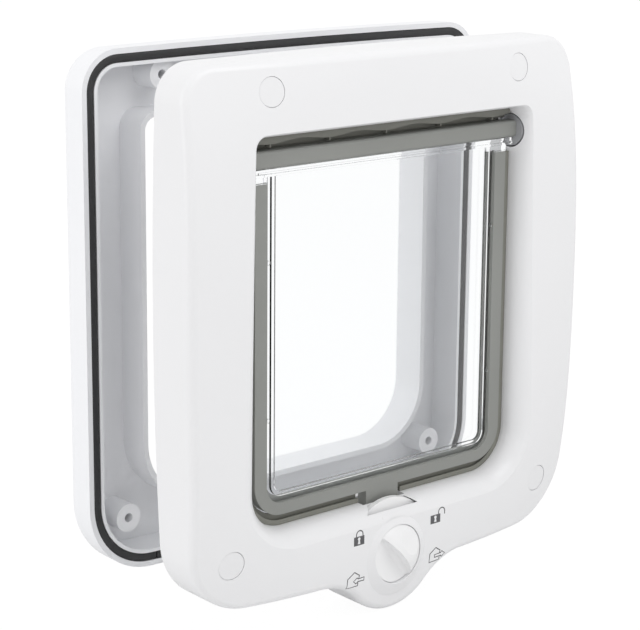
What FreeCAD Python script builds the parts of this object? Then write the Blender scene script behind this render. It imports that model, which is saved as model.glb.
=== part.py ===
import FreeCAD, Part
import math
import os

from FreeCAD import Vector

# A four way cat flap for a house door, in millimetres. X points right as seen from indoors,
# +Y points outdoors and +Z is up. The origin is the middle of the front frame's rim, in the
# plane that lies on the indoor face of the door. The rear frame stands on the outdoor face.

# Front frame: a hollow shell. Its plate faces the room and its rim lies on the door.
frame_depth = 26.0
wall = 2.5
edge_round = 3.4
dome_flat_radius = 106.0
dome_radius = 150.0
dome_reach = 170.0
half_width_top = 110.0
half_width_middle = 112.4
half_width_bottom = 108.4
frame_top = 116.3
top_bow = 1.0
frame_bottom = -116.2
bottom_bow = 3.0
top_corner = 16.0
bottom_corner = 31.0
chin_blend = 30.0

# Passage through the front frame, and the mouth that flares from it to the plate.
passage_half = 76.5
passage_top = 84.5
passage_bottom = -84.7
passage_top_corner = 5.0
passage_bottom_corner = 20.0
mouth_depth = 10.5
mouth_flare_side_top = 4.1
mouth_flare_side_bottom = 11.2
mouth_flare_up = 2.6
mouth_flare_down = 9.5
mouth_top_corner = 6.0
mouth_bottom_corner = 30.0
mouth_steps = 7
mouth_last_angle = 82.0
mouth_overrun = 0.2
mouth_wall_shift = 2.0

# Four screw points, with a cap in the plate over each one.
screw_x_top = 70.5
screw_z_top = 103.5
screw_x_bottom = 90.8
screw_z_bottom = -92.3
screw_hole_radius = 2.6
screw_head_radius = 4.6
screw_seat = 6.0
screw_boss_wall = 2.7
cap_radius = 6.08
cap_gap = 0.1
cap_rim_gap = 0.2
cap_drop = 0.2
cap_thickness = 1.6
cap_skirt_radius = 5.2
cap_skirt_wall = 1.0
cap_skirt_length = 4.4

# Hinge of the flap: a bar with a pin and a disc at each end, in pockets of the frame.
hinge_y = -14.5
hinge_drop = 10.8
bar_half_thickness = 3.7
bar_above = 4.7
bar_below = 2.9
bar_round = 1.6
bar_overlap = 0.3
pin_radius = 1.5
pin_clearance = 0.06
pin_in_bar = 10.8
pin_end_play = 0.4
pin_past_pocket = 3.5
disc_radius = 7.2
disc_thickness = 2.6
disc_clearance = 0.8
pocket_end_play = 2.4
hinge_boss_wall = 2.5
hinge_boss_end = 1.1
fit_gap = 0.05

# Flap: a clear panel whose sides and bottom sit in a grey edge strip with a tab.
strip_side_gap = 4.1
strip_bottom_gap = 5.4
strip_side_width = 6.6
strip_bottom_width = 5.3
strip_corner = 15.0
strip_thickness = 5.5
strip_ahead = 1.7
strip_end_drop = 9.2
strip_web = 0.9
strip_lip = 2.0
strip_back_inset = 2.4
strip_end_corner = 0.5
strip_overrun = 5.0
panel_thickness = 2.5
panel_top_corner = 1.0
panel_under_pin = 0.6
head_past_pin = 2.0
head_above_hinge = 2.2
ridge_side_gap = 1.2
ridge_height = 3.2
ridge_below_bar = 0.1
ridge_width = 3.1
ridge_groove_width = 0.9
ridge_groove_depth = 1.1
clip_height = 3.5
rib_gap = 2.8
rib_width = 2.0
rib_height = 1.2
pip_inset = 1.3
pip_radius = 1.0
pip_height = 1.4
pip_places = (31.0, -37.0)
tab_half = 9.4
tab_below_passage = 3.4
tab_corner = 1.0
magnet_half = 5.9
magnet_height = 5.8
magnet_depth = 3.6
magnet_above_tab_end = 1.7

# Soft seals in the passage. The lip of the top one has a slow wave.
seal_thickness = 2.9
seal_front = -14.4
seal_top_half = 74.6
seal_lip_front = -16.2
seal_lip_height = 3.1
seal_wave = 0.65
seal_wave_pitch = 32.0
seal_wave_steps = 24
seal_web_front = -12.6
seal_roof = 1.4
seal_tick_half = 0.4
seal_tick_set_back = 0.5
seal_above_bar = 0.9
seal_back = -8.2
seal_back_lip = 1.0
seal_back_drop = 2.4
seal_side_height = 2.6
seal_bottom_height = 4.7
seal_bottom_lip = 2.3
seal_web_thickness = 1.1
seal_lip_thickness = 0.8
seal_floor = 1.0
seal_below_pocket = 1.7

# Channel under the tab, and the fixed magnet below it.
channel_side_gap = 3.0
channel_front_gap = 1.3
channel_below_tab = 1.4
channel_side_wall = 2.0
channel_front_wall = 0.7
channel_back = -9.3
cradle_web = 1.2
cradle_wall = 1.45
strike_half = 8.0
strike_depth = 6.0
strike_height = 4.0

# Lock: the knob turns a wheel whose front disc stops the way in and rear disc the way out.
knob_z = -107.5
knob_radius = 13.2
knob_rim_height = 1.1
knob_crest_height = 6.4
knob_tip_half = 0.2
knob_broad_half = 1.9
knob_fin_shift = 0.8
knob_scoop_lean = 0.7
knob_scoop_foot = 2.6
knob_scoop_sink = 0.2
knob_slope_sag = 0.5
knob_pointer = 137.0
shaft_radius = 4.0
shaft_end = -13.0
collar_radius = 17.0
collar_top_radius = 13.9
collar_height = 1.5
collar_root = 1.2
knob_bore_gap = 0.25
knob_bore_depth = 2.6
pad_floor = 1.6
pad_wall = 2.6
knob_gap = 0.3
journal_radius = 5.0
journal_clearance = 0.06
wheel_radius = 24.4
wheel_gap = 0.5
wheel_front = -21.2
wheel_disc = 2.4
wheel_back_disc_front = -8.5
hub_radius = 8.0
hub_notch_radius = 1.2
hub_notch_depth = 0.5
thrust_radius = 7.0
thrust_gap = 0.1
chin_wall = 2.1
slot_half = 18.5
slot_front_gap = 2.1
slot_above_collar = 0.9
front_lobe_sweep = 90.0
rear_lobe_sweep = 180.0
rear_lobe_middle = 225.0
knob_screw_head_radius = 3.0
knob_screw_head_height = 2.0
knob_screw_radius = 1.5
knob_screw_length = 6.0
knob_screw_seat = 2.0
driver_reach = 0.6
driver_half_width = 0.35
driver_depth = 0.9

# Cover behind the wheel, its two screws, and the leaf spring that clicks on the hub.
cover_front = -4.6
cover_thickness = 2.2
cover_half = 35.0
cover_top_gap = 3.8
cover_height = 20.0
cover_radius = 22.0
cover_corner = 3.0
post_x = 31.0
post_above_knob = 9.5
post_radius = 3.5
cover_screw_radius = 1.4
cover_screw_length = 8.0
cover_screw_head_radius = 2.8
cover_screw_head_height = 1.5
spring_half = 28.5
spring_width = 5.0
spring_thickness = 0.5
spring_above_hub = 0.8
spring_bump_radius = 0.6
spring_seat_gap = 0.1

# Rear frame: the same outline without a chin, with a seal in a groove round its rim.
door_gap = 47.0
rear_depth = 18.5
rear_wider_top = 4.0
rear_wider_middle = 1.2
rear_wider_bottom = 5.0
rear_higher = 1.0
rear_lower = 1.3
rear_top_corner = 18.0
rear_bottom_corner = 33.0
rear_edge_round = 8.0
rear_floor = 2.0
rear_land = 2.4
groove_width = 3.8
groove_depth = 3.4
rear_lip = 1.6
collar_wall = 2.5
collar_set_back = 0.8
rear_side_gap = 5.0
rear_top_gap = 1.5
rear_bottom_gap = 2.0
rear_opening_top_corner = 6.0
rear_opening_bottom_corner = 27.0
rear_opening_round = 1.0
rear_boss_radius = 6.4
rear_boss_set_back = 3.3
rear_hole_radius = 2.1
rear_hole_bottom = 1.5
rear_seal_gap = 0.05
rear_seal_cut_x = -78.0
rear_seal_cut = 0.3

# Places that follow from the sizes above.
plate_y = -frame_depth
hinge_z = passage_top - hinge_drop
bar_half = passage_half + bar_overlap
disc_inner = bar_half + fit_gap
disc_outer = disc_inner + disc_thickness
pocket_radius = disc_radius + disc_clearance
pocket_end = disc_outer + pocket_end_play
pin_end = pocket_end + pin_past_pocket
hinge_boss_radius = pocket_radius + hinge_boss_wall
strip_half = passage_half - strip_side_gap
strip_inner = strip_half - strip_side_width
strip_bottom = passage_bottom + strip_bottom_gap
strip_inner_bottom = strip_bottom + strip_bottom_width
strip_top = hinge_z - strip_end_drop
strip_front = hinge_y - strip_ahead
strip_back = strip_front + strip_thickness
panel_front = strip_front + strip_lip
panel_back = panel_front + panel_thickness
panel_half = strip_half - strip_web
panel_bottom = strip_bottom + strip_web
panel_top = hinge_z - pin_radius - panel_under_pin
head_half = bar_half - pin_in_bar - head_past_pin
head_top = hinge_z + head_above_hinge
ridge_half = passage_half - ridge_side_gap
ridge_top = hinge_z - bar_below - ridge_below_bar
tab_bottom = passage_bottom - tab_below_passage
channel_half = tab_half + channel_side_gap
channel_front = strip_front - channel_front_gap
channel_floor = tab_bottom - channel_below_tab
bulge_radius = wheel_radius + wheel_gap + chin_wall
bore_y = plate_y + knob_bore_depth
pad_back = bore_y + pad_floor
knob_under = bore_y - knob_gap
wheel_back = wheel_back_disc_front + wheel_disc
cover_back = cover_front + cover_thickness
cover_top = passage_bottom - wall - cover_top_gap
post_z = knob_z + post_above_knob
spring_bottom = knob_z + hub_radius + spring_above_hub
rear_back = door_gap + rear_depth
screw_points = [(side * x, z) for x, z in
                ((screw_x_top, screw_z_top), (screw_x_bottom, screw_z_bottom)) for side in (-1, 1)]


def box(x0, x1, y0, y1, z0, z1):
    """Box between two corners."""
    return Part.makeBox(x1 - x0, y1 - y0, z1 - z0, Vector(x0, y0, z0))


def rod(radius, y0, y1, x=0.0, z=0.0):
    """Cylinder along Y."""
    return Part.makeCylinder(radius, y1 - y0, Vector(x, y0, z), Vector(0, 1, 0))


def hinge_rod(radius, x0, x1):
    """Cylinder along the hinge axis."""
    return Part.makeCylinder(radius, x1 - x0, Vector(x0, hinge_y, hinge_z), Vector(1, 0, 0))


def both_sides(shape):
    """The shape and its mirror image on the other side of X = 0."""
    return [shape, shape.mirror(Vector(0, 0, 0), Vector(1, 0, 0))]


def rounded_loop(corners, radii, y):
    """Closed wire at Y = y with straight sides between (x, z) corners, each corner rounded."""
    points = [Vector(x, y, z) for x, z in corners]
    starts, arcs, ends = [], [], []
    for i, radius in enumerate(radii):
        corner = points[i]
        back = (points[i - 1] - corner).normalize()
        ahead = (points[(i + 1) % len(points)] - corner).normalize()
        half_angle = back.getAngle(ahead) / 2
        reach = radius / math.tan(half_angle)
        inward = (back + ahead).normalize() * (radius / math.sin(half_angle) - radius)
        starts.append(corner + back * reach)
        ends.append(corner + ahead * reach)
        arcs.append(Part.Arc(starts[i], corner + inward, ends[i]).toShape())
    edges = []
    for i, arc in enumerate(arcs):
        edges.append(arc)
        edges.append(Part.LineSegment(ends[i], starts[(i + 1) % len(starts)]).toShape())
    return Part.Wire(edges)


def rounded_panel(half, bottom, top, low_radius, high_radius, y0, y1):
    """Plate from y0 to y1 with its own corner radius below and above."""
    corners = ((-half, top), (half, top), (half, bottom), (-half, bottom))
    loop = rounded_loop(corners, (high_radius, high_radius, low_radius, low_radius), y0)
    return Part.Face(loop).extrude(Vector(0, y1 - y0, 0))


def bowed_prism(halves, top, bottom, radii, inset, y0, y1):
    """Plate with four shallow arcs for sides and round corners, moved in by inset."""
    upper, waist, lower = halves
    top_radius, bottom_radius = radii
    high, low = top - top_bow, bottom + bottom_bow
    middle_z = (high + low) / 2
    middle = Vector(0, y0, middle_z)
    corners = [Vector(-upper, y0, high), Vector(upper, y0, high),
               Vector(lower, y0, low), Vector(-lower, y0, low)]
    bows = [Vector(0, y0, top), Vector(waist, y0, middle_z),
            Vector(0, y0, bottom), Vector(-waist, y0, middle_z)]
    circles = []
    for i, bow in enumerate(bows):
        side = Part.Arc(corners[i], bow, corners[(i + 1) % 4]).toShape().Curve
        inward = side.Center - bow
        shrink = inset if inward.dot(middle - bow) > 0 else -inset
        circles.append(Part.Circle(side.Center, Vector(0, 1, 0), side.Radius - shrink))
        bows[i] = bow + inward.normalize() * shrink
    for i, corner in enumerate(corners):
        corners[i] = circle_crossing(circles[i - 1], circles[i], corner)
    arcs = [Part.Arc(corners[i], bows[i], corners[(i + 1) % 4]).toShape() for i in range(4)]
    plate = Part.Face(Part.Wire(arcs)).extrude(Vector(0, y1 - y0, 0))
    plate = plate.makeFillet(top_radius - inset, upright_edges(plate, middle_z, top))
    return plate.makeFillet(bottom_radius - inset, upright_edges(plate, low - 1, low + inset + 1))


def circle_crossing(first, second, near):
    """Point where two circles in a plane of constant Y cross, nearest to a given point."""
    across = second.Center - first.Center
    span = across.Length
    along = (first.Radius ** 2 - second.Radius ** 2 + span ** 2) / (2 * span)
    aside = math.sqrt(first.Radius ** 2 - along ** 2)
    across.normalize()
    foot = first.Center + across * along
    turn = Vector(across.z, 0, -across.x) * aside
    return min((foot + turn, foot - turn), key=near.distanceToPoint)


def upright_edges(plate, low, high, half=math.inf):
    """Edges of the plate that run along Y between two heights."""
    found = []
    for edge in plate.Edges:
        first, last = edge.Vertexes[0].Point, edge.Vertexes[-1].Point
        if abs(first.y - last.y) < 1e-6 or math.hypot(first.x - last.x, first.z - last.z) > 1e-6:
            continue
        if low < first.z < high and abs(first.x) < half:
            found.append(edge)
    return found


def end_face(shape, y):
    """The flat face of the shape at Y = y."""
    return next(face for face in shape.Faces
                if face.BoundBox.YLength < 1e-6 and abs(face.BoundBox.YMin - y) < 1e-6)


def round_end(shape, y, radius):
    """The shape with the outer edges of its end face at y rounded."""
    return shape.makeFillet(radius, end_face(shape, y).OuterWire.Edges)


def domed_stock(sink):
    """Round solid whose face is flat in the middle and falls back in an arc outside it."""
    crown = plate_y + sink
    angle = math.asin((dome_reach - dome_flat_radius) / dome_radius)
    middle = Vector(dome_flat_radius, crown + dome_radius, 0)

    def on_arc(turn):
        return middle + Vector(math.sin(turn), -math.cos(turn), 0) * dome_radius

    edge = on_arc(angle)
    lines = [Part.LineSegment(Vector(0, crown, 0), on_arc(0)).toShape(),
             Part.Arc(on_arc(0), on_arc(angle / 2), edge).toShape(),
             Part.LineSegment(edge, Vector(dome_reach, rear_back, 0)).toShape(),
             Part.LineSegment(Vector(dome_reach, rear_back, 0), Vector(0, rear_back, 0)).toShape(),
             Part.LineSegment(Vector(0, rear_back, 0), Vector(0, crown, 0)).toShape()]
    return Part.Face(Part.Wire(lines)).revolve(Vector(0, 0, 0), Vector(0, 1, 0), 360)


def round_dome(shape, radius):
    """The domed shape with the outer edges of its face rounded."""
    edges = []
    for edge in shape.Edges:
        points = [edge.valueAt(edge.getParameterByLength(edge.Length * share)) for share in (0.2, 0.5, 0.8)]
        if all(abs(point.y - dome_y(point.x, point.z)) < 0.01 for point in points):
            if math.hypot(points[1].x, points[1].z) > dome_flat_radius:
                edges.append(edge)
    return shape.makeFillet(radius, edges)


def dome_y(x, z):
    """Y of the front frame's face at a place."""
    beyond = max(0.0, math.hypot(x, z) - dome_flat_radius)
    return plate_y + dome_radius - math.sqrt(dome_radius ** 2 - beyond ** 2)


def front_outline(inset, y0, y1):
    """Front frame's outline with the round chin below the knob, moved in by inset."""
    halves = half_width_top, half_width_middle, half_width_bottom
    plate = bowed_prism(halves, frame_top, frame_bottom, (top_corner, bottom_corner), inset, y0, y1)
    plate = plate.fuse(rod(bulge_radius - inset, y0, y1, 0, knob_z)).removeSplitter()
    edges = upright_edges(plate, frame_bottom - bulge_radius, knob_z, bulge_radius)
    return plate.makeFillet(chin_blend + inset, edges)


def passage_loop(flare, grow, y):
    """Loop of the passage: flare 0 is the tunnel and flare 1 the edge of the mouth."""
    upper = passage_half + flare * mouth_flare_side_top + grow
    lower = passage_half + flare * mouth_flare_side_bottom + grow
    top = passage_top + flare * mouth_flare_up + grow
    bottom = passage_bottom - flare * mouth_flare_down - grow
    high = passage_top_corner + flare * (mouth_top_corner - passage_top_corner) + grow
    low = passage_bottom_corner + flare * (mouth_bottom_corner - passage_bottom_corner) + grow
    corners = ((-upper, top), (upper, top), (lower, bottom), (-lower, bottom))
    return rounded_loop(corners, (high, high, low, low), y)


def passage(grow, shift, y_end):
    """Tunnel and mouth as one solid, from just before the plate to y_end."""
    last = math.radians(mouth_last_angle)
    reach = (mouth_depth + mouth_overrun) / math.sin(last)
    throat = plate_y + mouth_depth + shift
    loops = []
    for step in range(mouth_steps):
        angle = last * step / (mouth_steps - 1)
        loops.append(passage_loop(1 - math.cos(angle), grow, throat - reach * math.sin(angle)))
    mouth = Part.makeLoft(loops, True, False)
    tunnel = Part.Face(loops[0]).extrude(Vector(0, y_end - throat, 0))
    return mouth.fuse(tunnel)


def wheel_well(y0, y1):
    """Room for one disc of the lock wheel."""
    return rod(wheel_radius + wheel_gap, y0 - wheel_gap, y1 + wheel_gap, 0, knob_z)


def front_frame():
    """Shell with passage, hinge pockets, screw bosses, channel, cradle and seat of the lock."""
    outline = front_outline(0, plate_y, 0).common(domed_stock(0))
    shell = round_dome(outline, edge_round)
    hollow = front_outline(wall, plate_y + wall, 1).common(domed_stock(wall))
    inside = [passage(wall, mouth_wall_shift, 0)]
    inside += [rod(cap_radius + screw_boss_wall, plate_y + wall, 0, x, z) for x, z in screw_points]
    inside += both_sides(hinge_rod(hinge_boss_radius, passage_half, pin_end + hinge_boss_end))
    inside.append(rod(collar_radius + pad_wall, plate_y + wall, pad_back, 0, knob_z))
    inside += [rod(post_radius, plate_y + wall, cover_front - fit_gap, side * post_x, post_z)
               for side in (-1, 1)]
    inside += cradle()
    frame = shell.cut(hollow).fuse([part.common(outline) for part in inside] + [knob_collar()])
    frame = frame.cut([passage(0, 0, 1)] + front_frame_cuts())
    return frame.removeSplitter()


def cradle():
    """Walls of the channel under the tab, and the block that holds the fixed magnet."""
    half = channel_half + channel_side_wall
    floor = channel_floor - cradle_web
    channel = box(-half, half, channel_front - channel_front_wall, channel_back,
                  floor, passage_bottom)
    half = strike_half + cradle_wall
    holder = box(-half, half, channel_front - channel_front_wall, channel_back,
                 floor - strike_height - fit_gap, floor)
    return [channel, holder]


def strike_box(gap):
    """Block of the fixed magnet, grown by the gap."""
    half = strike_half + gap
    top = channel_floor - cradle_web
    middle = (channel_front + channel_back) / 2
    return box(-half, half, middle - strike_depth / 2 - gap, middle + strike_depth / 2 + gap,
               top - strike_height - gap, top)


def knob_collar():
    """Low cone on the plate round the knob."""
    spread = (collar_radius - collar_top_radius) / collar_height
    return Part.makeCone(collar_radius + spread * collar_root, collar_top_radius,
                         collar_height + collar_root, Vector(0, plate_y + collar_root, knob_z),
                         Vector(0, -1, 0))


def front_frame_cuts():
    """Everything cut from the front frame after its passage."""
    cuts = []
    for x, z in screw_points:
        cap_seat = dome_y(x, z) + cap_thickness + fit_gap
        skirt_end = cap_seat + cap_skirt_length + cap_gap
        cuts.append(rod(cap_radius + cap_rim_gap, plate_y - 1, cap_seat, x, z))
        cuts.append(rod(cap_skirt_radius + cap_gap, plate_y, skirt_end, x, z))
        cuts.append(rod(screw_head_radius, plate_y, -screw_seat, x, z))
        cuts.append(rod(screw_hole_radius, plate_y, 1, x, z))
    cuts += both_sides(hinge_rod(pocket_radius, passage_half - 1, pocket_end))
    cuts += both_sides(hinge_rod(pin_radius + pin_clearance, passage_half, pin_end + pin_end_play))
    cuts.append(box(-channel_half, channel_half, channel_front, 1, channel_floor,
                    passage_bottom + strip_bottom_gap))
    cuts.append(strike_box(fit_gap))
    cuts.append(wheel_well(wheel_front, wheel_front + wheel_disc).cut(
        rod(bulge_radius, plate_y, pad_back, 0, knob_z)))
    cuts.append(wheel_well(wheel_back_disc_front, wheel_back))
    lobe_slot = box(-slot_half, slot_half, wheel_front - slot_front_gap,
                    wheel_front + wheel_disc + wheel_gap,
                    knob_z + collar_radius + slot_above_collar, passage_top)
    cuts.append(lobe_slot.common(rod(wheel_radius + wheel_gap, plate_y, 0, 0, knob_z)))
    cuts.append(rod(knob_radius + knob_bore_gap, plate_y - collar_height - 1, bore_y, 0, knob_z))
    cuts.append(rod(journal_radius + journal_clearance, plate_y, 0, 0, knob_z))
    pilot_end = cover_front - cover_screw_length
    for side in (-1, 1):
        cuts.append(rod(cover_screw_radius + fit_gap, pilot_end - 1, 0, side * post_x, post_z))
    cuts.append(spring_leaf(spring_seat_gap))
    return cuts


def screw_cap(x, z):
    """Round cap with a skirt that grips the bore below it."""
    seat = dome_y(x, z) + cap_thickness
    top = rod(cap_radius, plate_y, seat, x, z).common(domed_stock(cap_drop))
    skirt = rod(cap_skirt_radius, seat, seat + cap_skirt_length, x, z)
    skirt = skirt.cut(rod(cap_skirt_radius - cap_skirt_wall, seat, rear_back, x, z))
    return top.fuse(skirt)


def seal_top():
    """Soft strip above the hinge bar: a wavy front lip, a web, and a lip down behind the bar."""
    top = passage_top - fit_gap
    points = []
    for step in range(seal_wave_steps + 1):
        x = seal_top_half * (2 * step / seal_wave_steps - 1)
        wave = seal_wave * math.cos(2 * math.pi * x / seal_wave_pitch)
        points.append(Vector(x, seal_lip_front, top - seal_lip_height - wave))
    lip = Part.BSplineCurve()
    lip.interpolate(points)
    right, left = Vector(seal_top_half, seal_lip_front, top), Vector(-seal_top_half, seal_lip_front, top)
    edges = [lip.toShape(), Part.LineSegment(points[-1], right).toShape(),
             Part.LineSegment(right, left).toShape(), Part.LineSegment(left, points[0]).toShape()]
    lip = Part.Face(Part.Wire(edges)).extrude(Vector(0, seal_front - seal_lip_front, 0))
    web_bottom = hinge_z + bar_above + seal_above_bar
    web = [box(-seal_top_half, seal_top_half, seal_lip_front, seal_back, top - seal_roof, top),
           box(-seal_top_half, seal_top_half, seal_web_front, seal_back, web_bottom, top),
           box(-seal_top_half, seal_top_half, seal_back - seal_back_lip, seal_back,
               web_bottom - seal_back_drop, top)]
    ticks = int(seal_top_half / seal_wave_pitch)
    for place in range(-ticks, ticks + 1):
        x = place * seal_wave_pitch
        web.append(box(x - seal_tick_half, x + seal_tick_half, seal_lip_front + seal_tick_set_back,
                       seal_web_front, web_bottom, top))
    fit = Part.Face(passage_loop(0, -fit_gap, plate_y)).extrude(Vector(0, frame_depth, 0))
    return lip.fuse(web).common(fit).removeSplitter()


def seal_side(side):
    """Soft strip down one side of the passage and along its bottom to the channel."""
    top = hinge_z - pocket_radius - seal_below_pocket
    half = passage_half - fit_gap
    bottom = passage_bottom + fit_gap
    outer = rounded_panel(half, bottom, passage_top, passage_bottom_corner - fit_gap,
                          passage_top_corner, seal_front, seal_front + seal_thickness)

    def ring(beside, below, y0, y1):
        inner = rounded_panel(half - beside, bottom + below, passage_top + 1,
                              passage_bottom_corner - beside, passage_top_corner, y0, y1)
        return outer.cut(inner).common(box(0, passage_half, y0, y1, passage_bottom, passage_top))

    lip_back = seal_front + seal_lip_thickness
    web_back = seal_front + seal_thickness
    strip = ring(seal_side_height, seal_bottom_lip, seal_front, lip_back)
    strip = strip.fuse([ring(seal_floor, seal_floor, lip_back, web_back),
                        ring(seal_side_height, seal_bottom_height, web_back - seal_web_thickness, web_back)])
    strip = strip.removeSplitter()
    keep = box(channel_half, passage_half, seal_front, web_back, passage_bottom, top)
    strip = strip.common(keep)
    return strip if side > 0 else both_sides(strip)[1]


def hinge_bar():
    """Grey bar with a slot for the panel and a bore at each end for a pin."""
    corners = [(hinge_y - bar_half_thickness, hinge_z + bar_above),
               (hinge_y + bar_half_thickness, hinge_z + bar_above),
               (hinge_y + bar_half_thickness, hinge_z - bar_below),
               (hinge_y - bar_half_thickness, hinge_z - bar_below)]
    loop = rounded_loop(corners, [bar_round] * 4, 0)
    loop.rotate(Vector(0, 0, 0), Vector(0, 0, 1), 90)
    bar = Part.Face(loop).extrude(Vector(2 * bar_half, 0, 0))
    bar.translate(Vector(-bar_half, 0, 0))
    slots = [box(-panel_half - fit_gap, panel_half + fit_gap, panel_front - fit_gap,
                 panel_back + fit_gap, hinge_z - bar_below - 1, panel_top + fit_gap),
             box(-head_half - fit_gap, head_half + fit_gap, panel_front - fit_gap,
                 panel_back + fit_gap, hinge_z - bar_below - 1, head_top + fit_gap)]
    bores = both_sides(hinge_rod(pin_radius, bar_half - pin_in_bar, bar_half + 1))
    return bar.cut(slots + bores)


def hinge_pin(side):
    """Steel pin from the bar to the end of its hole in the frame."""
    pin = hinge_rod(pin_radius, bar_half - pin_in_bar, pin_end)
    return pin if side > 0 else both_sides(pin)[1]


def hinge_disc(side):
    """Grey washer on the pin that fills most of the pocket."""
    disc = hinge_rod(disc_radius, disc_inner, disc_outer)
    disc = disc.cut(hinge_rod(pin_radius + pin_clearance, disc_inner - 1, disc_outer + 1))
    return disc if side > 0 else both_sides(disc)[1]


def inner_panel(inset, y0, y1, top):
    """Plate inside the edge strip, smaller than the strip's window by the inset."""
    return rounded_panel(strip_inner - inset, strip_inner_bottom + inset, top,
                         strip_corner - strip_side_width - inset, panel_top_corner, y0, y1)


def flap_panel():
    """Clear panel with a head in the bar, a ridge below it, a rib, clips and pips."""
    corner = strip_corner - strip_web
    panel = rounded_panel(panel_half, panel_bottom, panel_top, corner, panel_top_corner,
                          panel_front, panel_back)
    head = box(-head_half, head_half, panel_front, panel_back, ridge_top, head_top)
    ridge_bottom = ridge_top - ridge_width
    ridge = box(-ridge_half, ridge_half, panel_front - ridge_height, panel_front,
                ridge_bottom, ridge_top)
    groove_bottom = (ridge_top + ridge_bottom - ridge_groove_width) / 2
    ridge = ridge.cut(box(-panel_half, panel_half, plate_y,
                          panel_front - ridge_height + ridge_groove_depth,
                          groove_bottom, groove_bottom + ridge_groove_width))
    rib = inner_panel(rib_gap, panel_front - rib_height, panel_front, ridge_top)
    rib = rib.cut(inner_panel(rib_gap + rib_width, panel_front - ridge_height, panel_front,
                              ridge_top + 1))
    rib = rib.cut(box(-panel_half, panel_half, plate_y, panel_front, ridge_bottom, hinge_z))
    clips = both_sides(box(strip_inner, strip_half, strip_front, strip_back,
                           strip_top + fit_gap, strip_top + clip_height))
    pip_x = strip_inner - pip_inset
    pips = [rod(pip_radius, panel_front - pip_height, panel_front, side * pip_x, z)
            for side in (-1, 1) for z in pip_places]
    return panel.fuse([head, ridge, rib] + clips + pips).removeSplitter()


def edge_strip():
    """Grey strip round three sides of the panel, with the tab that meets the lock."""
    outer = rounded_panel(strip_half, strip_bottom, strip_top, strip_corner, strip_end_corner,
                          strip_front, strip_back)
    window = inner_panel(0, strip_front - 1, panel_front, strip_top + strip_overrun)
    back_window = inner_panel(strip_back_inset, panel_front, strip_back + 1,
                              strip_top + strip_overrun)
    tab = rounded_panel(tab_half, tab_bottom, strip_inner_bottom, tab_corner, tab_corner,
                        strip_front, strip_back)
    groove = rounded_panel(panel_half + fit_gap, panel_bottom - fit_gap, strip_top + strip_overrun,
                           strip_corner - strip_web + fit_gap, panel_top_corner,
                           panel_front - fit_gap, panel_back + fit_gap)
    cuts = [window, back_window, groove, tab_magnet(fit_gap)]
    return outer.fuse(tab).cut(cuts).removeSplitter()


def tab_magnet(gap):
    """Block magnet in the back of the tab, grown by the gap."""
    half = magnet_half + gap
    bottom = tab_bottom + magnet_above_tab_end - gap
    return box(-half, half, strip_back - magnet_depth - gap, strip_back,
               bottom, bottom + magnet_height + 2 * gap)


def lobe(radius, y0, y1, middle, sweep):
    """Sector of a disc about the knob's axis. Its middle is an angle clockwise from up."""
    sector = Part.makeCylinder(radius, y1 - y0, Vector(0, y0, knob_z), Vector(0, 1, 0), sweep)
    sector.rotate(Vector(0, 0, knob_z), Vector(0, 1, 0), middle - sweep / 2)
    return sector


def lock_wheel():
    """Wheel with two lobes in front and half a disc behind, on journals at both ends."""
    front_end = wheel_front + wheel_disc
    wheel = rod(hub_radius, wheel_front, wheel_back, 0, knob_z)
    parts = [lobe(wheel_radius, wheel_front, front_end, middle, front_lobe_sweep)
             for middle in (0, 180)]
    parts.append(lobe(wheel_radius, wheel_back_disc_front, wheel_back,
                      rear_lobe_middle, rear_lobe_sweep))
    parts.append(rod(thrust_radius, pad_back + thrust_gap, cover_front - thrust_gap, 0, knob_z))
    parts.append(rod(journal_radius, knob_under + fit_gap, cover_back, 0, knob_z))
    notch_z = knob_z + hub_radius + hub_notch_radius - hub_notch_depth
    notches = []
    for turn in range(4):
        notch = rod(hub_notch_radius, front_end, wheel_back_disc_front, 0, notch_z)
        notch.rotate(Vector(0, 0, knob_z), Vector(0, 1, 0), 90 * turn)
        notches.append(notch)
    bores = [rod(shaft_radius + fit_gap, plate_y, shaft_end + fit_gap, 0, knob_z),
             rod(knob_screw_radius + fit_gap, plate_y, 0, 0, knob_z),
             rod(knob_screw_head_radius + cap_gap, shaft_end + knob_screw_seat, 0, 0, knob_z)]
    return wheel.fuse(parts).cut(notches + bores).removeSplitter()


def knob():
    """Round domed knob, scooped on both sides of a fin that is broad at its pointer end."""
    crest = plate_y - knob_crest_height
    rise = knob_crest_height - knob_rim_height
    dome_radius = (knob_radius ** 2 + rise ** 2) / (2 * rise)
    body = rod(knob_radius, crest, knob_under)
    body = body.common(Part.makeSphere(dome_radius, Vector(0, crest + dome_radius, 0)))
    taper = math.degrees(math.atan2(knob_broad_half - knob_tip_half, 2 * knob_radius))
    for side, cut in ((1, knob_scoop()), (-1, knob_slope())):
        cut.rotate(Vector(0, 0, 0), Vector(0, 1, 0), side * taper)
        cut.translate(Vector(-knob_fin_shift, 0, 0))
        body = body.cut(cut)
    body = body.fuse(rod(shaft_radius, knob_under, shaft_end))
    body = body.cut(rod(knob_screw_radius + fit_gap, shaft_end - knob_screw_length, shaft_end + 1))
    body.rotate(Vector(0, 0, 0), Vector(0, 1, 0), knob_pointer)
    body.translate(Vector(0, 0, knob_z))
    return body


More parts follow.
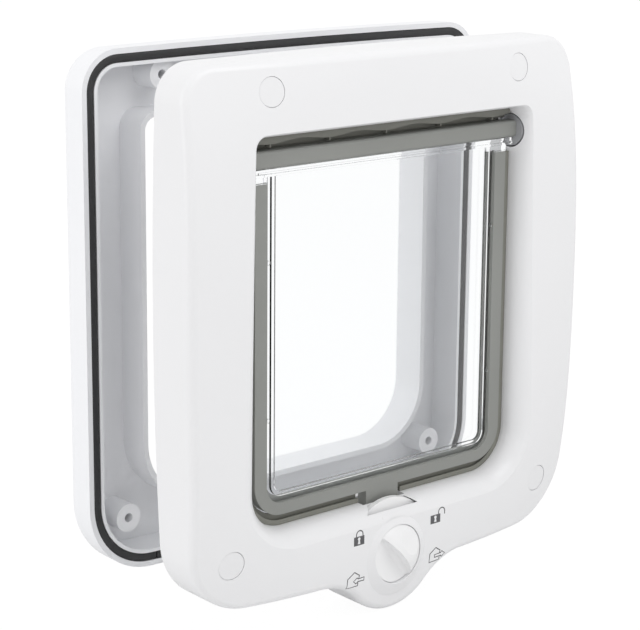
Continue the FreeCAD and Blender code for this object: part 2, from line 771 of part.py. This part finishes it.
def knob_scoop():
    """Cut on one side of the knob's fin: a steep wall, a round foot, and a floor up to the rim."""
    crest = plate_y - knob_crest_height - 1
    floor = plate_y + knob_scoop_sink
    rim = plate_y - knob_rim_height
    beside = (knob_broad_half + knob_tip_half) / 2
    foot = beside + knob_scoop_lean + knob_scoop_foot
    bend = foot - knob_scoop_foot * math.sqrt(0.5)
    far = knob_radius + 1
    reach = 2 * knob_radius
    wall_end = Vector(foot - knob_scoop_foot, floor - knob_scoop_foot, -reach)
    foot_middle = Vector(bend, floor - knob_scoop_foot * (1 - math.sqrt(0.5)), -reach)
    foot_end = Vector(foot, floor, -reach)
    edge = Vector(far, rim, -reach)
    swell = (foot_end + edge) / 2 + Vector(0, (floor - rim) / 4, 0)
    top_in, top_out = Vector(beside, crest, -reach), Vector(far, crest, -reach)
    edges = [Part.LineSegment(top_in, wall_end).toShape(),
             Part.Arc(wall_end, foot_middle, foot_end).toShape(),
             Part.Arc(foot_end, swell, edge).toShape(),
             Part.LineSegment(edge, top_out).toShape(),
             Part.LineSegment(top_out, top_in).toShape()]
    return Part.Face(Part.Wire(edges)).extrude(Vector(0, 0, 2 * reach))


def knob_slope():
    """Cut on the other side of the fin: one hollow slope from its top to the rim."""
    crest = plate_y - knob_crest_height
    beside = (knob_broad_half + knob_tip_half) / 2
    far = knob_radius + 1
    reach = 2 * knob_radius
    top_in, edge = Vector(-beside, crest, -reach), Vector(-far, plate_y - knob_rim_height, -reach)
    sag = (top_in + edge) / 2 + Vector(0, knob_slope_sag, 0)
    top_out = Vector(-far, crest, -reach)
    edges = [Part.Arc(top_in, sag, edge).toShape(),
             Part.LineSegment(edge, top_out).toShape(),
             Part.LineSegment(top_out, top_in).toShape()]
    return Part.Face(Part.Wire(edges)).extrude(Vector(0, 0, 2 * reach))


def knob_screw():
    """Screw from behind that holds the knob on the wheel."""
    seat = shaft_end + knob_screw_seat
    head_end = seat + knob_screw_head_height
    screw = rod(knob_screw_head_radius, seat, head_end, 0, knob_z)
    screw = screw.fuse(rod(knob_screw_radius, seat - knob_screw_length, seat, 0, knob_z))
    return screw.cut(driver_cross(0, knob_z, head_end, knob_screw_head_radius))


def driver_cross(x, z, y, head_radius):
    """Cross recess in a screw head whose top is at Y = y."""
    arm = head_radius * driver_reach
    return [box(x - arm, x + arm, y - driver_depth, y + 1,
                z - driver_half_width, z + driver_half_width),
            box(x - driver_half_width, x + driver_half_width, y - driver_depth, y + 1,
                z - arm, z + arm)]


def lock_cover():
    """Plate behind the wheel with the bore of its rear journal."""
    plate = rounded_panel(cover_half, cover_top - cover_height, cover_top, cover_corner,
                          cover_corner, cover_front, cover_back)
    plate = plate.fuse(rod(cover_radius, cover_front, cover_back, 0, knob_z))
    holes = [rod(journal_radius + journal_clearance, cover_front - 1, 0, 0, knob_z)]
    holes += [rod(cover_screw_radius + fit_gap, cover_front - 1, 0, side * post_x, post_z)
              for side in (-1, 1)]
    return plate.cut(holes).removeSplitter()


def cover_screw(side):
    """Pan head screw through the cover into its post."""
    head_end = cover_back + cover_screw_head_height
    screw = rod(cover_screw_head_radius, cover_back, head_end, side * post_x, post_z)
    shank_end = cover_front - cover_screw_length
    screw = screw.fuse(rod(cover_screw_radius, shank_end, cover_back, side * post_x, post_z))
    return screw.cut(driver_cross(side * post_x, post_z, head_end, cover_screw_head_radius))


def spring_leaf(gap):
    """Flat leaf between the two posts, grown by the gap."""
    middle = (channel_front + channel_back) / 2
    half = spring_half + gap
    depth = spring_width / 2 + gap
    return box(-half, half, middle - depth, middle + depth,
               spring_bottom - gap, spring_bottom + spring_thickness + gap)


def detent_spring():
    """Leaf spring whose bump clicks over the notches of the hub."""
    middle = (channel_front + channel_back) / 2
    bump = rod(spring_bump_radius, middle - spring_width / 2, middle + spring_width / 2,
               0, spring_bottom)
    return spring_leaf(0).fuse(bump).removeSplitter()


def rear_outline(inset, y0, y1):
    """Outline of the rear frame, moved in by inset."""
    halves = (half_width_top + rear_wider_top, half_width_middle + rear_wider_middle,
              half_width_bottom + rear_wider_bottom)
    return bowed_prism(halves, frame_top + rear_higher, frame_bottom - rear_lower,
                       (rear_top_corner, rear_bottom_corner), inset, y0, y1)


def rear_opening(grow, y0, y1):
    """Opening of the rear frame, grown by the wall of its collar."""
    half = passage_half + rear_side_gap + grow
    top = passage_top + rear_top_gap + grow
    bottom = passage_bottom - rear_bottom_gap - grow
    return rounded_panel(half, bottom, top, rear_opening_bottom_corner + grow,
                         rear_opening_top_corner + grow, y0, y1)


def groove_ring(inset, width, y0, y1):
    """Ring that runs round the rim of the rear frame, at an inset from its outline."""
    return rear_outline(inset, y0, y1).cut(rear_outline(inset + width, y0, y1))


def rear_frame():
    """Outdoor frame with a grooved rim, a collar round the opening and four blind bosses."""
    shell = round_end(rear_outline(0, door_gap, rear_back), rear_back, rear_edge_round)
    rim_width = rear_land + groove_width + rear_lip
    hollow = rear_outline(rim_width, door_gap, rear_back - rear_floor)
    inside = [rear_opening(collar_wall, door_gap + collar_set_back, rear_back)]
    inside += [rod(rear_boss_radius, door_gap + rear_boss_set_back, rear_back - 1, x, z)
               for x, z in screw_points]
    frame = shell.cut(hollow).fuse(inside)
    cuts = [groove_ring(rear_land, groove_width, door_gap, door_gap + groove_depth),
            rear_opening(0, door_gap, rear_back)]
    cuts += [rod(rear_hole_radius, door_gap, rear_back - rear_floor - rear_hole_bottom, x, z)
             for x, z in screw_points]
    frame = frame.cut(cuts).removeSplitter()
    face = end_face(frame, rear_back)
    inner_loop = min(face.Wires, key=lambda wire: wire.Length)
    return frame.makeFillet(rear_opening_round, inner_loop.Edges)


def rear_seal():
    """Black seal in the groove, cut from one length whose ends meet at the bottom."""
    width = groove_width - 2 * rear_seal_gap
    ring = groove_ring(rear_land + rear_seal_gap, width, door_gap + rear_seal_gap,
                       door_gap + groove_depth - rear_seal_gap)
    cut = box(rear_seal_cut_x, rear_seal_cut_x + rear_seal_cut, door_gap, rear_back,
              frame_bottom, frame_bottom / 2)
    return ring.cut(cut)


def save(name, shape):
    """Write one piece, and say its size."""
    shape.exportStep(f"parts/{name}.step")
    print(f"{name:24s} {len(shape.Solids)} solids, valid {shape.isValid()}, "
          f"{shape.Volume / 1000:.2f} cm3")


os.makedirs("parts", exist_ok=True)
save("front_frame", front_frame())
for name, (x, z) in zip(("top_left", "top_right", "bottom_left", "bottom_right"), screw_points):
    save(f"screw_cap_{name}", screw_cap(x, z))
save("seal_top", seal_top())
save("seal_left", seal_side(-1))
save("seal_right", seal_side(1))
save("strike_magnet", strike_box(0))
save("lock_cover", lock_cover())
save("cover_screws", Part.makeCompound([cover_screw(-1), cover_screw(1)]))
save("detent_spring", detent_spring())
save("hinge_bar", hinge_bar())
save("hinge_pin_left", hinge_pin(-1))
save("hinge_pin_right", hinge_pin(1))
save("hinge_disc_left", hinge_disc(-1))
save("hinge_disc_right", hinge_disc(1))
save("flap_panel", flap_panel())
save("edge_strip", edge_strip())
save("flap_magnet", tab_magnet(0))
save("lock_wheel", lock_wheel())
save("knob", knob())
save("knob_screw", knob_screw())
save("rear_frame", rear_frame())
save("rear_seal", rear_seal())
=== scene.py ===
import math

import bmesh
import bpy
from mathutils import Matrix, Vector
from mathutils.bvhtree import BVHTree


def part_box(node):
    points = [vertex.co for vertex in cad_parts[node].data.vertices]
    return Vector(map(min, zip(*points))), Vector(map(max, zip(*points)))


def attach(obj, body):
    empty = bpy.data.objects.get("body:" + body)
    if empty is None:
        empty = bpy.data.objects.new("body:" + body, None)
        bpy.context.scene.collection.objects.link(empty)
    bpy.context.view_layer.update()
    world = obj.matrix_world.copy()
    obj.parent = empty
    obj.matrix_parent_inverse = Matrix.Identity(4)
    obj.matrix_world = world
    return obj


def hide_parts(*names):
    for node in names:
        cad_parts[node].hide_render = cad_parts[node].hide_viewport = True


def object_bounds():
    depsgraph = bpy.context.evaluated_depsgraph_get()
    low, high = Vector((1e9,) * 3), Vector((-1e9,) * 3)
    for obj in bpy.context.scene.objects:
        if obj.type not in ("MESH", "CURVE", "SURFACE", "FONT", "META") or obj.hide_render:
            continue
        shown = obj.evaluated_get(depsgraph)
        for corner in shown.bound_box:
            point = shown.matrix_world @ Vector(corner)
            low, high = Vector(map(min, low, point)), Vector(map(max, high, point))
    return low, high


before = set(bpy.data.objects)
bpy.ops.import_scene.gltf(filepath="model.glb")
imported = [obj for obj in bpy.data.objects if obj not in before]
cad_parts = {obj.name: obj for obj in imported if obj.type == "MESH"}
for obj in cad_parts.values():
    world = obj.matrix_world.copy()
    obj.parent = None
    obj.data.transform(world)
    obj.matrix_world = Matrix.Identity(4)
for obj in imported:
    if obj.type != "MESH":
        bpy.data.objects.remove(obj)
cad_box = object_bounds()

# The camera and the room. The flap stands on a plain white table in a white room, as in a
# catalogue picture, with a small lamp above its front and a broad one at the left behind it.
camera = bpy.data.objects.new("camera", bpy.data.cameras.new("camera"))
bpy.context.scene.collection.objects.link(camera)
bpy.context.scene.camera = camera
picture_width = 640
picture_height = 630
focal_pixels = 1930.2
axis_pixel = (263.96, 241.68)
camera_place = Vector((-0.5536, -0.6200, 0.2032))
camera_yaw = 0.67760
camera_pitch = 0.20666
camera_roll = 0.00232
camera.data.sensor_fit = "HORIZONTAL"
camera.data.sensor_width = 36.0
camera.data.lens = focal_pixels / picture_width * camera.data.sensor_width
camera.data.shift_x = (picture_width / 2 - axis_pixel[0]) / picture_width
camera.data.shift_y = (axis_pixel[1] - picture_height / 2) / picture_width
camera.matrix_world = (Matrix.Translation(camera_place)
                       @ Matrix.Rotation(-camera_yaw, 4, "Z")
                       @ Matrix.Rotation(math.pi / 2 - camera_pitch, 4, "X")
                       @ Matrix.Rotation(camera_roll, 4, "Z"))

scene = bpy.context.scene
scene.view_settings.view_transform = "Standard"
room_light = 0.85
room_seen = 1.0


class Value:
    """A number in a node tree, on which Python's operators add Math nodes."""

    def __init__(self, nodes, socket):
        self.nodes = nodes
        self.socket = socket

    def maths(self, operation, first, second):
        made = self.nodes.node("ShaderNodeMath", {"operation": operation}, {0: first, 1: second})
        return Value(self.nodes, made.outputs[0])

    def __add__(self, other):
        return self.maths("ADD", self, other)

    def __radd__(self, other):
        return self.maths("ADD", other, self)

    def __mul__(self, other):
        return self.maths("MULTIPLY", self, other)

    def __rmul__(self, other):
        return self.maths("MULTIPLY", other, self)

    def either(self, other):
        """The larger of two numbers."""
        return self.maths("MAXIMUM", self, other)


class Nodes:
    """The nodes of one world or material."""

    def __init__(self, tree):
        self.tree = tree

    def node(self, kind, settings, inputs):
        """A node of any kind: its settings are set first, then its inputs by name or number."""
        made = self.tree.nodes.new(kind)
        for name, value in settings.items():
            setattr(made, name, value)
        for name, value in inputs.items():
            self.feed(made.inputs[name], value)
        return made

    def feed(self, socket, value):
        """Link a socket to a node's output, or set it to a value."""
        if isinstance(value, Value):
            value = value.socket
        if isinstance(value, bpy.types.NodeSocket):
            self.tree.links.new(value, socket)
        else:
            socket.default_value = value

    def rays(self, *kinds):
        """1 for rays of any of these kinds, else 0."""
        path = self.node("ShaderNodeLightPath", {}, {})
        found = [Value(self, path.outputs[f"Is {kind} Ray"]) for kind in kinds]
        share = found[0]
        for other in found[1:]:
            share = share.either(other)
        return share


world = bpy.data.worlds.new("white room")
scene.world = world
world.use_nodes = True
room = Nodes(world.node_tree)
room_level = room.node("ShaderNodeMapRange", {}, {"Value": room.rays("Camera", "Transmission", "Glossy"),
                                                  "To Min": room_light, "To Max": room_seen})
room_background = world.node_tree.nodes["Background"]
room.feed(room_background.inputs["Strength"], room_level.outputs[0])
room.feed(room_background.inputs["Color"], (1.0, 1.0, 1.0, 1.0))


def hang_lamp(name, place, aim, size, power):
    """A soft square lamp at a place, turned towards the point it lights."""
    lamp = bpy.data.objects.new(name, bpy.data.lights.new(name, "AREA"))
    lamp.data.size = size
    lamp.data.energy = power
    lamp.location = place
    lamp.rotation_euler = (Vector(aim) - Vector(place)).to_track_quat("-Z", "Y").to_euler()
    scene.collection.objects.link(lamp)


hang_lamp("top_lamp", (0.05, -0.42, 0.50), (0, 0, 0.06), 0.4, 1.0)
hang_lamp("side_lamp", (-1.2, 0.45, 0.35), (0, 0, 0), 0.9, 3.2)

table_drop = 0.0004
table_half = 4.0
table_mesh = bpy.data.meshes.new("table")
table = bpy.data.objects.new("table", table_mesh)
scene.collection.objects.link(table)
sheet = bmesh.new()
bmesh.ops.create_grid(sheet, x_segments=1, y_segments=1, size=table_half)
bmesh.ops.translate(sheet, vec=(0, 0, cad_box[0].z - table_drop), verts=sheet.verts)
sheet.to_mesh(table_mesh)
sheet.free()

# The front frame: one moulding of white ABS with a fine satin gloss. It keeps its CAD shape, as
# every rigid piece below does, and gets its material only.


class Finish(Nodes):
    """One material on Object coordinates."""

    def __init__(self, name):
        self.material = bpy.data.materials.new(name)
        self.material.use_nodes = True
        Nodes.__init__(self, self.material.node_tree)
        self.surface = self.tree.nodes["Principled BSDF"]
        self.coordinates = self.node("ShaderNodeTexCoord", {}, {}).outputs["Object"]

    def noise(self, size, detail=2.0):
        """Smooth noise from 0 to 1 with blotches of about this size in metres."""
        made = self.node("ShaderNodeTexNoise", {}, {"Vector": self.coordinates,
                                                    "Scale": 1.0 / size, "Detail": detail})
        return Value(self, made.outputs["Fac"])

    def mix(self, share, first, second):
        """A colour between two others."""
        made = self.node("ShaderNodeMix", {"data_type": "RGBA"}, {0: share, 6: first, 7: second})
        return made.outputs[2]

    def paint(self, name, value):
        """Set or link an input of the surface shader."""
        self.feed(self.surface.inputs[name], value)

    def emboss(self, height, depth):
        """Raise the surface by the height, which runs from 0 to 1, times the depth in metres."""
        made = self.node("ShaderNodeBump", {}, {"Height": height, "Distance": depth})
        self.feed(self.surface.inputs["Normal"], made.outputs[0])

    def dress(self, *pieces):
        """Give the pieces this material alone."""
        for piece in pieces:
            piece.data.materials.clear()
            piece.data.materials.append(self.material)


abs_index = 1.5
cloud_size = 0.06
gloss_patch = 0.012
gloss_change = 0.08
peel_size = 0.0016
peel_depth = 0.00002


def white_moulding(name, low, high, roughness):
    """White plastic with slow shade changes and a faint orange peel."""
    finish = Finish(name)
    finish.paint("Base Color", finish.mix(finish.noise(cloud_size), low, high))
    finish.paint("Roughness", roughness + gloss_change * finish.noise(gloss_patch))
    finish.paint("IOR", abs_index)
    finish.emboss(finish.noise(peel_size, 3.0), peel_depth)
    return finish


frame_white = white_moulding("white_abs_gloss", (0.82, 0.82, 0.83, 1.0), (0.845, 0.845, 0.855, 1.0), 0.26)
frame_white.dress(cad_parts["front_frame"])

# The four screw caps: small white press fit discs over the screw points, a little duller than
# the frame. They keep their CAD shape.
cap_white = white_moulding("white_cap", (0.81, 0.81, 0.82, 1.0), (0.835, 0.835, 0.845, 1.0), 0.33)
for corner in ("top_left", "top_right", "bottom_left", "bottom_right"):
    cap_white.dress(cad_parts[f"screw_cap_{corner}"])

# The rear frame: the outdoor moulding, of the same ABS in a slightly bluer white, painted
# brighter than the front frame as painted light for its shaded recess. It goes on the other
# face of the door, and long screws through the door hold it.
# painted light: a brighter copy of the frame's white, so that the shaded recess reads lighter
rear_white_painted_light = white_moulding("white_abs_rear_painted_light", (0.87, 0.875, 0.895, 1.0), (0.89, 0.895, 0.915, 1.0), 0.30)
rear_white_painted_light.dress(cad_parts["rear_frame"])

# The rear seal: one length of black rubber cord pressed into the groove round the rim. It has
# softly rounded edges and a dull, dusty skin.
flat_angle = math.radians(2)
sharp_angle = math.radians(50)
rounding_steps = 3


def soft_copy(node, name, rounding, body):
    """A piece with the node's outline, whose edges are rounded as soft rubber's are."""
    mesh = bpy.data.meshes.new(name)
    form = bmesh.new()
    form.from_mesh(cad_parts[node].data)
    bmesh.ops.remove_doubles(form, verts=form.verts, dist=1e-6)
    bmesh.ops.dissolve_limit(form, angle_limit=flat_angle, verts=form.verts, edges=form.edges)
    sharp = [edge for edge in form.edges if edge.calc_face_angle(0) > sharp_angle]
    bmesh.ops.bevel(form, geom=sharp, offset=rounding, segments=rounding_steps, affect="EDGES", profile=0.5,
                    material=-1, clamp_overlap=True)
    bmesh.ops.recalc_face_normals(form, faces=form.faces)
    for face in form.faces:
        face.smooth = True
    form.to_mesh(mesh)
    form.free()
    piece = bpy.data.objects.new(name, mesh)
    scene.collection.objects.link(piece)
    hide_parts(node)
    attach(piece, body)
    return piece


rear_seal_rounding = 0.0007
rear_rubber = soft_copy("rear_seal", "rear_rubber", rear_seal_rounding, "frames")
black_rubber = Finish("black_rubber")
black_rubber.paint("Base Color", black_rubber.mix(black_rubber.noise(0.02), (0.018, 0.018, 0.019, 1.0),
                                                  (0.035, 0.035, 0.037, 1.0)))
black_rubber.paint("Roughness", 0.42 + 0.2 * black_rubber.noise(0.006))
black_rubber.emboss(black_rubber.noise(0.0011, 4.0), 0.00006)
black_rubber.dress(rear_rubber)

# The passage seals: soft olive grey strips pushed on ribs of the frame, one above the hinge bar
# with a wavy lip, and one down each side and along the bottom. The top one is painted darker,
# as painted shade for the shadow that the mouth's top edge casts on it.


def seal_rubber(name, low, high):
    """Soft matt rubber with slow shade changes and a fine grain."""
    finish = Finish(name)
    finish.paint("Base Color", finish.mix(finish.noise(0.012), low, high))
    finish.paint("Roughness", 0.55 + 0.2 * finish.noise(0.005))
    finish.emboss(finish.noise(0.0009, 3.0), 0.00005)
    return finish


passage_seal_rounding = 0.00025
seal_olive = seal_rubber("olive_seal", (0.19, 0.19, 0.165, 1.0), (0.24, 0.24, 0.21, 1.0))
# painted shade: a darker copy of the olive seal, standing in for the shadow on the top seal
seal_olive_painted_shade = seal_rubber("olive_seal_painted_shade", (0.175, 0.175, 0.155, 1.0), (0.215, 0.215, 0.19, 1.0))
for side, rubber in (("top", seal_olive_painted_shade), ("left", seal_olive), ("right", seal_olive)):
    strip = soft_copy(f"seal_{side}", f"passage_seal_{side}", passage_seal_rounding, "frames")
    rubber.dress(strip)

# The hinge bar and the edge strip: grey satin plastic with the fine grain of an etched mould.
# The discs at the bar's ends are a lighter, bluer grey. All of them keep their CAD shapes.


def grey_moulding(name, low, high):
    """Grey plastic with slow shade changes and a fine grain."""
    finish = Finish(name)
    finish.paint("Base Color", finish.mix(finish.noise(0.05), low, high))
    finish.paint("Roughness", 0.40 + 0.15 * finish.noise(0.004))
    finish.emboss(finish.noise(0.0005, 2.0), 0.00002)
    return finish


grey_satin = grey_moulding("grey_satin", (0.235, 0.240, 0.225, 1.0), (0.28, 0.285, 0.27, 1.0))
grey_satin.dress(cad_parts["hinge_bar"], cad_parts["edge_strip"])
disc_grey = grey_moulding("disc_grey", (0.36, 0.365, 0.38, 1.0), (0.41, 0.415, 0.43, 1.0))
disc_grey.dress(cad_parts["hinge_disc_left"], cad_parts["hinge_disc_right"])

# The flap panel: clear acrylic, polished, with moulded ridge, rib and clips. Light passes
# through it without a dark shadow.
panel_clear = Finish("clear_acrylic")
panel_clear.paint("Base Color", (0.97, 0.98, 0.985, 1.0))
panel_clear.paint("Roughness", 0.01 + 0.03 * panel_clear.noise(0.03))
panel_clear.paint("IOR", 1.49)
panel_clear.paint("Transmission Weight", 1.0)
panel_lit = panel_clear.node("ShaderNodeBsdfTransparent", {}, {"Color": (0.93, 0.94, 0.94, 1.0)})
panel_both = panel_clear.node("ShaderNodeMixShader", {}, {
    0: panel_clear.rays("Shadow"), 1: panel_clear.surface.outputs[0], 2: panel_lit.outputs[0]})
panel_clear.feed(panel_clear.tree.nodes["Material Output"].inputs["Surface"], panel_both.outputs[0])
panel_clear.dress(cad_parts["flap_panel"])

# The hinge pins, screws and spring are plated steel, and the two magnets are nickel plated.
# Most of them are hidden, and they keep their CAD shapes.
plated = Finish("plated_steel")
plated.paint("Base Color", plated.mix(plated.noise(0.004), (0.50, 0.50, 0.49, 1.0), (0.60, 0.60, 0.59, 1.0)))
plated.paint("Metallic", 1.0)
plated.paint("Roughness", 0.25 + 0.2 * plated.noise(0.002))
plated.emboss(plated.noise(0.0004, 3.0), 0.00001)
for name in ("hinge_pin_left", "hinge_pin_right", "cover_screws", "knob_screw", "detent_spring",
             "flap_magnet", "strike_magnet"):
    plated.dress(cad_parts[name])

# The knob, the wheel behind it and the wheel's cover: white acetal, a little softer in gloss
# than the frame.
lock_white = white_moulding("white_acetal", (0.865, 0.865, 0.87, 1.0), (0.89, 0.89, 0.895, 1.0), 0.30)
lock_white.dress(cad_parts["knob"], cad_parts["lock_wheel"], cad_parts["lock_cover"])

# The four signs round the knob: pad printed in dark grey, a few hundredths of a millimetre
# thick. Closed and open padlock above, house with the arrow in and out below. They follow the
# domed plate, found by a ray at each point.
print_grey = Finish("print_grey")
print_grey.paint("Base Color", print_grey.mix(print_grey.noise(0.0008), (0.075, 0.075, 0.08, 1.0),
                                              (0.115, 0.115, 0.12, 1.0)))
print_grey.paint("Roughness", 0.45 + 0.15 * print_grey.noise(0.001))
front_mesh = bmesh.new()
front_mesh.from_mesh(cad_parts["front_frame"].data)
front_surface = BVHTree.FromBMesh(front_mesh)
front_mesh.free()
knob_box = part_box("knob_screw")
knob_middle = Vector(((knob_box[0].x + knob_box[1].x) / 2, 0.0, (knob_box[0].z + knob_box[1].z) / 2))
print_rise = 0.00003
line_width = 0.00056
line_step = 0.0007
line_cuts = 7


def plate_at(x, z):
    """Y of the front frame's face at a place."""
    found = front_surface.ray_cast(Vector((x, -1.0, z)), Vector((0.0, 1.0, 0.0)))
    return found[0].y


def printed(name, lines, areas):
    """A sign of lines and filled areas on the plate. Points are (x, z) from the knob, in mm."""
    curve = bpy.data.curves.new(name, "CURVE")
    curve.dimensions = "3D"
    curve.bevel_depth = line_width / 2
    curve.bevel_resolution = 2
    for points, closed in lines:
        spline = curve.splines.new("POLY")
        spline.points.add(len(points) - 1)
        spline.use_cyclic_u = closed
        for point, (x, z) in zip(spline.points, points):
            point.co = (x / 1000, 0.0, z / 1000, 1.0)
    form = bmesh.new()
    drawn = bpy.data.objects.new(name + "_line", curve)
    form.from_mesh(drawn.to_mesh())
    drawn.to_mesh_clear()
    bpy.data.objects.remove(drawn)
    bpy.data.curves.remove(curve)
    bmesh.ops.scale(form, vec=(1.0, 2 * print_rise / line_width, 1.0), verts=form.verts)
    long_edges = [edge for edge in form.edges if edge.calc_length() > line_step]
    bmesh.ops.subdivide_edges(form, edges=long_edges, cuts=line_cuts)
    for points in areas:
        corners = [form.verts.new((x / 1000, -print_rise, z / 1000)) for x, z in points]
        form.faces.new(corners)
    bmesh.ops.translate(form, vec=knob_middle, verts=form.verts)
    for vert in form.verts:
        vert.co.y += plate_at(vert.co.x, vert.co.z)
    bmesh.ops.recalc_face_normals(form, faces=form.faces)
    mesh = bpy.data.meshes.new(name)
    form.to_mesh(mesh)
    form.free()
    sign = bpy.data.objects.new(name, mesh)
    scene.collection.objects.link(sign)
    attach(sign, "frames")
    print_grey.dress(sign)


def bow(x, z, radius, start, end, steps=10):
    """Points along an arc, its angles in degrees from the right towards up."""
    return [(x + radius * math.cos(math.radians(start + (end - start) * i / steps)),
             z + radius * math.sin(math.radians(start + (end - start) * i / steps)))
            for i in range(steps + 1)]


def padlock(x, z, width, height):
    """The two halves of a padlock's body, split down the middle of its keyhole."""
    halves = []
    for side in (-1, 1):
        hole = [(x, z + height - 0.45)] + [(x + side * dx, z + dz) for dx, dz in
                                           ((0.55, height - 0.6), (0.8, height - 1.2), (0.45, height - 1.9),
                                            (0.75, 0.65), (0.0, 0.55))]
        halves.append([(x, z), (x + side * width / 2, z), (x + side * width / 2, z + height),
                       (x, z + height)] + hole)
    return halves


lock_shackle = [(-23.6, 12.6)] + bow(-21.7, 13.5, 1.9, 180, 0) + [(-19.8, 12.6)]
printed("sign_locked", [(lock_shackle, False)], padlock(-22.0, 8.7, 6.0, 4.1))
open_shackle = [(25.7, 12.3)] + bow(27.6, 13.2, 1.9, 180, 0) + [(29.5, 11.8)]
printed("sign_open", [(open_shackle, False)], padlock(23.8, 8.5, 6.0, 4.0))
house_out = [(27.3, -6.4), (27.5, -5.3), (24.7, -3.4), (21.1, -5.8), (20.9, -9.9), (27.1, -9.7), (27.2, -8.4)]
arrow_out = [(24.1, -6.8), (28.1, -6.6), (28.6, -5.9), (30.6, -7.3), (28.6, -8.7), (28.1, -8.0), (24.2, -8.1)]
printed("sign_out", [(house_out, False), (arrow_out, True)], [])
house_in = [(-21.6, -6.4), (-21.3, -5.4), (-24.2, -3.4), (-28.0, -5.9), (-28.2, -10.3), (-22.1, -10.1),
            (-22.0, -8.7)]
arrow_in = [(-18.5, -6.8), (-21.8, -6.9), (-22.6, -6.4), (-24.6, -7.7), (-23.1, -9.0), (-21.9, -8.2),
            (-18.6, -8.3)]
printed("sign_in", [(house_in, False), (arrow_in, True)], [])

# The table's white top: it shows as plain white to the camera and through the clear panel, and
# keeps a little of the flap's shadow.
table_strength = 1.04
table_share = 0.92
table_white = Finish("white_table")
table_white.paint("Base Color", (0.86, 0.86, 0.86, 1.0))
table_white.paint("Roughness", 0.8)
table_glow = table_white.node("ShaderNodeEmission", {}, {"Color": (1.0, 1.0, 1.0, 1.0),
                                                         "Strength": table_strength})
table_both = table_white.node("ShaderNodeMixShader", {}, {
    0: table_white.rays("Camera", "Transmission") * table_share, 1: table_white.surface.outputs[0],
    2: table_glow.outputs[0]})
table_white.feed(table_white.tree.nodes["Material Output"].inputs["Surface"], table_both.outputs[0])
table_white.dress(table)
